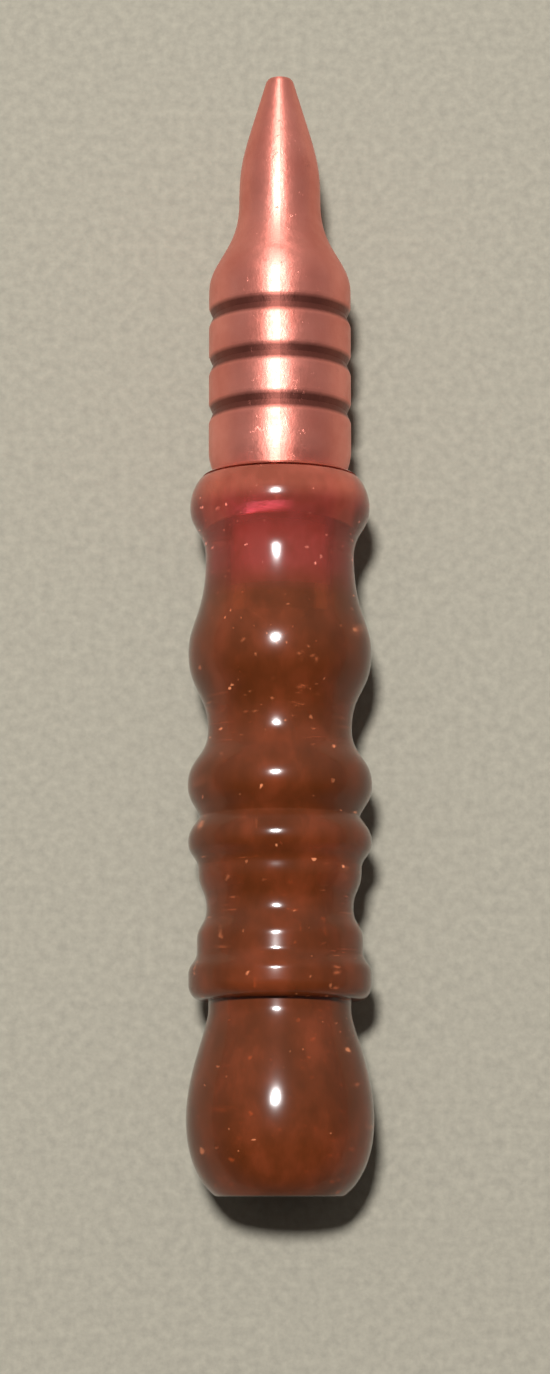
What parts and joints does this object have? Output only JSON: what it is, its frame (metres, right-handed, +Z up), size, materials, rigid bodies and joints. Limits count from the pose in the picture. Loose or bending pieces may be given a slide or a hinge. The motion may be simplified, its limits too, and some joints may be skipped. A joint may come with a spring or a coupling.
{
  "type": "craft placing pen",
  "caption": "Turned resin handle with a screw-in metal nose whose hollow tip holds soft wax, for picking up and placing small gems.",
  "frame": {"origin": "on the surface the pen lies on, midway along its length and across its girth", "axes": "+Y along the pen's axis from the flat butt to the tip, +Z up, +X to the side"},
  "size_m": [0.0208, 0.1286, 0.0209],
  "materials": {
    "cast_resin": "clear dark amber-red casting resin with copper flakes, polished to a gloss",
    "insert_metal": "pink anodised, smooth",
    "cured_adhesive": "cured amber adhesive, uneven",
    "seal_rubber": "magenta silicone rubber",
    "nose_metal": "rose-copper anodised, fine turning marks, small dings",
    "wax": "soft pink wax"
  },
  "bodies": {
    "handle": {"handle": "cast_resin", "threaded_insert": "insert_metal", "bond_epoxy": "cured_adhesive"},
    "seal": {"o_ring": "seal_rubber"},
    "nose": {"nose": "nose_metal", "wax_plug": "wax"}
  },
  "joints": [
    {"name": "nose_travel", "type": "slide", "parent": "handle", "child": "seal", "axis": [0, 1, 0], "range_m": [0, 0.0055]},
    {"name": "nose_screw", "type": "hinge", "parent": "seal", "child": "nose", "pos_m": [0, 0, 0.01045], "axis": [0, 1, 0], "range_deg": [0, 1980]}
  ],
  "couplings": [
    {"joint": "nose_travel", "follows": "nose_screw", "m_per_rad": 0.00015915}
  ]
}
